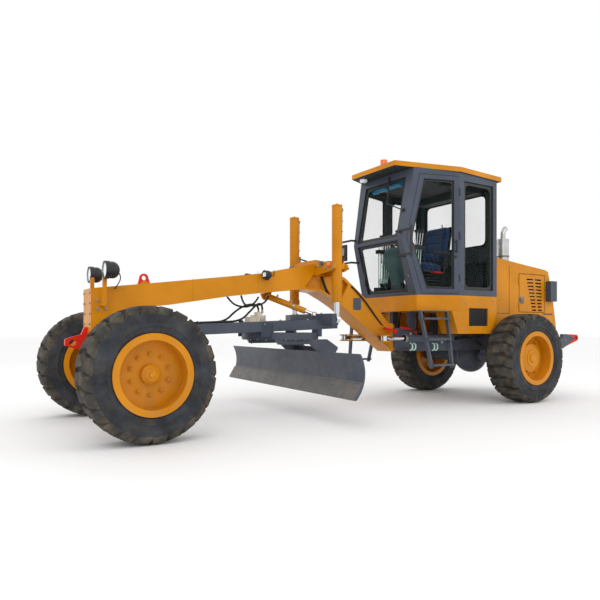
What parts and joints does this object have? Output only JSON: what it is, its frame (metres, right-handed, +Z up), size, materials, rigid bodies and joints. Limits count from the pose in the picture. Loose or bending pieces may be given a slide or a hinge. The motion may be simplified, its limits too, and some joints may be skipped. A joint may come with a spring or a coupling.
{
  "type": "articulated motor grader",
  "caption": "Articulated motor grader with a gooseneck frame, a blade on a turning circle, steered front wheels, a glazed cab and a rear engine hood.",
  "frame": {"origin": "on the ground under the middle of the machine's length and width", "axes": "+X forward, +Y to the machine's left, +Z up"},
  "size_m": [7.495, 3.0499, 3.197],
  "materials": {
    "body_paint": "gloss orange-yellow paint",
    "slate_paint": "satin slate grey paint",
    "red_paint": "gloss red paint",
    "tyre_rubber": "matt black rubber",
    "tinted_glass": "green tinted",
    "chrome": "polished rod",
    "bright_steel": "brushed",
    "black_plastic": "matt black",
    "amber_lens": "clear amber",
    "seat_cloth": "blue woven",
    "engine_iron": "dark cast"
  },
  "bodies": {
    "rear": {"rear_frame": "slate_paint", "rear_axle": "slate_paint", "engine_block": "engine_iron", "hood": "body_paint", "tail_lamp_boxes": "slate_paint", "exhaust": "bright_steel", "cab_shell": "slate_paint", "cab_glass": "tinted_glass", "cab_roof": "body_paint", "beacon": "amber_lens", "cab_base": "body_paint", "ladders": "slate_paint", "operator_seat": "seat_cloth", "steering_column": "black_plastic", "mirrors": "black_plastic", "tow_lugs": "red_paint"},
    "front": {"gooseneck": "body_paint", "lift_saddle": "body_paint", "front_axle": "slate_paint", "steering_cylinder": "slate_paint", "head_lamps": "black_plastic", "work_lamps": "black_plastic", "front_hook": "red_paint", "lifting_lug": "red_paint"},
    "tie_rod": {"tie_rod": "chrome"},
    "drawbar": {"drawbar": "slate_paint", "circle_drive": "slate_paint"},
    "circle": {"circle": "slate_paint"},
    "carrier": {"blade_carrier": "slate_paint"},
    "blade": {"blade": "slate_paint"},
    "side_cylinder": {"side_cylinder": "body_paint"},
    "side_rod": {"side_rod": "chrome"},
    "knuckle_left": {"steering_knuckle_left": "slate_paint"},
    "knuckle_right": {"steering_knuckle_right": "slate_paint"},
    "wheel_front_left": {"tyre_front_left": "tyre_rubber", "rim_front_left": "body_paint"},
    "wheel_front_right": {"tyre_front_right": "tyre_rubber", "rim_front_right": "body_paint"},
    "wheel_rear_left": {"tyre_rear_left": "tyre_rubber", "rim_rear_left": "body_paint"},
    "wheel_rear_right": {"tyre_rear_right": "tyre_rubber", "rim_rear_right": "body_paint"},
    "lift_rod_left": {"lift_rod_left": "chrome"},
    "lift_rod_right": {"lift_rod_right": "chrome"},
    "articulation_cylinder_left": {"articulation_cylinder_left": "slate_paint"},
    "articulation_rod_left": {"articulation_rod_left": "chrome"},
    "articulation_cylinder_right": {"articulation_cylinder_right": "slate_paint"},
    "articulation_rod_right": {"articulation_rod_right": "chrome"},
    "cab_door_left": {"cab_door_left": "slate_paint", "door_glass_left": "tinted_glass"},
    "hood_door_left": {"hood_door_left": "body_paint"},
    "cab_door_right": {"cab_door_right": "slate_paint", "door_glass_right": "tinted_glass"},
    "hood_door_right": {"hood_door_right": "body_paint"}
  },
  "joints": [
    {"name": "articulation", "type": "hinge", "parent": "rear", "child": "front", "pos_m": [-0.44, 0, 0.855], "axis": [0, 0, 1], "range_deg": [-27, 27]},
    {"name": "steer_left", "type": "hinge", "parent": "front", "child": "knuckle_left", "pos_m": [3.16, 0.7, 0.5875], "axis": [0, 0, 1], "range_deg": [-49, 49]},
    {"name": "steer_right", "type": "hinge", "parent": "front", "child": "knuckle_right", "pos_m": [3.16, -0.7, 0.5875], "axis": [0, 0, 1], "range_deg": [-49, 49]},
    {"name": "tie_slide", "type": "slide", "parent": "front", "child": "tie_rod", "axis": [0, 1, 0], "range_m": [-0.14, 0.14]},
    {"name": "roll_front_left", "type": "hinge", "parent": "knuckle_left", "child": "wheel_front_left", "pos_m": [3.16, 0.955, 0.5875], "axis": [0, 1, 0], "continuous": true},
    {"name": "roll_front_right", "type": "hinge", "parent": "knuckle_right", "child": "wheel_front_right", "pos_m": [3.16, -0.955, 0.5875], "axis": [0, 1, 0], "continuous": true},
    {"name": "roll_rear_left", "type": "hinge", "parent": "rear", "child": "wheel_rear_left", "pos_m": [-2.05, 0.91, 0.5875], "axis": [0, 1, 0], "continuous": true},
    {"name": "roll_rear_right", "type": "hinge", "parent": "rear", "child": "wheel_rear_right", "pos_m": [-2.05, -0.91, 0.5875], "axis": [0, 1, 0], "continuous": true},
    {"name": "blade_lift", "type": "hinge", "parent": "front", "child": "drawbar", "pos_m": [3.3, 0, 0.9], "axis": [0, 1, 0], "range_deg": [-17, 2.5]},
    {"name": "lift_slide_left", "type": "slide", "parent": "front", "child": "lift_rod_left", "axis": [0, 0, 1], "range_m": [-0.77, 0.12]},
    {"name": "lift_slide_right", "type": "slide", "parent": "front", "child": "lift_rod_right", "axis": [0, 0, 1], "range_m": [-0.77, 0.12]},
    {"name": "side_swing", "type": "hinge", "parent": "front", "child": "side_cylinder", "pos_m": [1.343, -0.1, 1.355], "axis": [-0.7086, -0.7049, -0.0327], "range_deg": [-8, 40]},
    {"name": "side_slide", "type": "slide", "parent": "side_cylinder", "child": "side_rod", "axis": [-0.6484, 0.6687, -0.364], "range_m": [-0.1, 0.7]},
    {"name": "circle_turn", "type": "hinge", "parent": "drawbar", "child": "circle", "pos_m": [1.24, 0, 0.855], "axis": [0, 0, -1], "continuous": true},
    {"name": "blade_tilt", "type": "hinge", "parent": "circle", "child": "carrier", "pos_m": [1.0355, 0.0143, 0.43], "axis": [0.0698, 0.9976, 0], "range_deg": [-20, 20]},
    {"name": "blade_slide", "type": "slide", "parent": "carrier", "child": "blade", "axis": [0.0698, 0.9976, 0], "range_m": [-0.5, 0.5]},
    {"name": "articulation_swing_left", "type": "hinge", "parent": "rear", "child": "articulation_cylinder_left", "pos_m": [-1.2, 0.4, 0.855], "axis": [0, 0, 1], "range_deg": [-12, 12]},
    {"name": "articulation_slide_left", "type": "slide", "parent": "articulation_cylinder_left", "child": "articulation_rod_left", "axis": [1, 0, 0], "range_m": [-0.22, 0.22]},
    {"name": "articulation_swing_right", "type": "hinge", "parent": "rear", "child": "articulation_cylinder_right", "pos_m": [-1.2, -0.4, 0.855], "axis": [0, 0, 1], "range_deg": [-12, 12]},
    {"name": "articulation_slide_right", "type": "slide", "parent": "articulation_cylinder_right", "child": "articulation_rod_right", "axis": [1, 0, 0], "range_m": [-0.22, 0.22]},
    {"name": "cab_door_left", "type": "hinge", "parent": "rear", "child": "cab_door_left", "pos_m": [-1, 0.69108, 2.105], "axis": [0, 0, 1], "range_deg": [0, 100]},
    {"name": "hood_door_left", "type": "hinge", "parent": "rear", "child": "hood_door_left", "pos_m": [-3.01, 0.55, 1.4875], "axis": [0, 0, 1], "range_deg": [0, 95]},
    {"name": "cab_door_right", "type": "hinge", "parent": "rear", "child": "cab_door_right", "pos_m": [-1, -0.69108, 2.105], "axis": [0, 0, -1], "range_deg": [0, 100]},
    {"name": "hood_door_right", "type": "hinge", "parent": "rear", "child": "hood_door_right", "pos_m": [-3.01, -0.55, 1.4875], "axis": [0, 0, -1], "range_deg": [0, 95]}
  ],
  "couplings": [
    {"joint": "steer_right", "follows": "steer_left", "ratio": 1},
    {"joint": "tie_slide", "follows": "steer_left", "m_per_rad": -0.16},
    {"joint": "lift_slide_left", "follows": "blade_lift", "m_per_rad": 2.555},
    {"joint": "lift_slide_right", "follows": "blade_lift", "m_per_rad": 2.555},
    {"joint": "side_swing", "follows": "blade_lift", "ratio": -2.2674},
    {"joint": "side_slide", "follows": "blade_lift", "m_per_rad": -1.5546},
    {"joint": "articulation_swing_left", "follows": "articulation", "ratio": 0.3495},
    {"joint": "articulation_slide_left", "follows": "articulation", "m_per_rad": -0.3953},
    {"joint": "articulation_swing_right", "follows": "articulation", "ratio": 0.3495},
    {"joint": "articulation_slide_right", "follows": "articulation", "m_per_rad": 0.3953}
  ]
}
